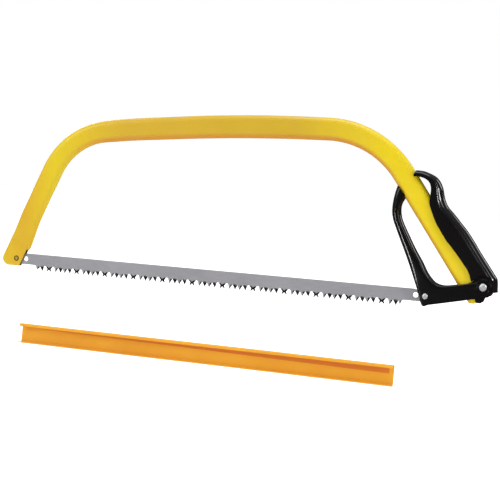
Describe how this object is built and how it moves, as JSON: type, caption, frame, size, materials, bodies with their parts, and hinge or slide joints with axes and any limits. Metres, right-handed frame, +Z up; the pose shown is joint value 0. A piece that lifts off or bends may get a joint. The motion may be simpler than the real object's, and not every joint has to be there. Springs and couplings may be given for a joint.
{
  "type": "bow_saw",
  "caption": "bow saw: bent flat-oval tube frame, raker-tooth blade tensioned by a cam lever, hand guard and a clip-on blade cover",
  "frame": {"origin": "axis of the toe pin, in the saw's mid-plane", "axes": "+X from the toe to the handle along the line of the two blade pins, +Z up towards the bow, Y across the saw with -Y the side the cover is shown on"},
  "size_m": [0.7206, 0.0278, 0.3478],
  "materials": {
    "yellow_paint": "gloss enamel over steel tube",
    "zinc_steel": "bright zinc",
    "blade_steel": "ground, lightly oiled",
    "black_steel": "black e-coat",
    "black_plastic": "glossy moulded plastic",
    "orange_plastic": "satin extruded plastic"
  },
  "bodies": {
    "frame": {"bow_tube": "yellow_paint", "toe_pin": "zinc_steel", "fulcrum_pin": "zinc_steel", "fulcrum_sleeve": "zinc_steel"},
    "blade": {"saw_blade": "blade_steel"},
    "lever": {"tension_lever": "black_steel", "lever_grip": "black_plastic", "link_rivets": "zinc_steel"},
    "guard": {"hand_guard": "black_plastic", "heel_pin": "zinc_steel"},
    "cover": {"blade_cover": "orange_plastic"}
  },
  "joints": [
    {"name": "lever_open", "type": "hinge", "parent": "frame", "child": "lever", "pos_m": [0.6662, 0, 0.0158], "axis": [0, 1, 0], "range_deg": [0, 110]},
    {"name": "guard_pivot", "type": "hinge", "parent": "lever", "child": "guard", "pos_m": [0.6801, 0, 0.0181], "axis": [0, 1, 0], "range_deg": [-110, 0]},
    {"name": "blade_drop", "type": "hinge", "parent": "frame", "child": "blade", "pos_m": [0, 0, 0], "axis": [0, 1, 0], "range_deg": [0, 3]},
    {"name": "cover_swing", "type": "hinge", "parent": "blade", "child": "cover", "pos_m": [0.3, 0, -0.0566], "axis": [-1, 0, 0], "range_deg": [0, 174]}
  ],
  "couplings": [
    {"joint": "guard_pivot", "follows": "lever_open", "ratio": -1},
    {"joint": "blade_drop", "follows": "lever_open", "ratio": 0.027273}
  ]
}
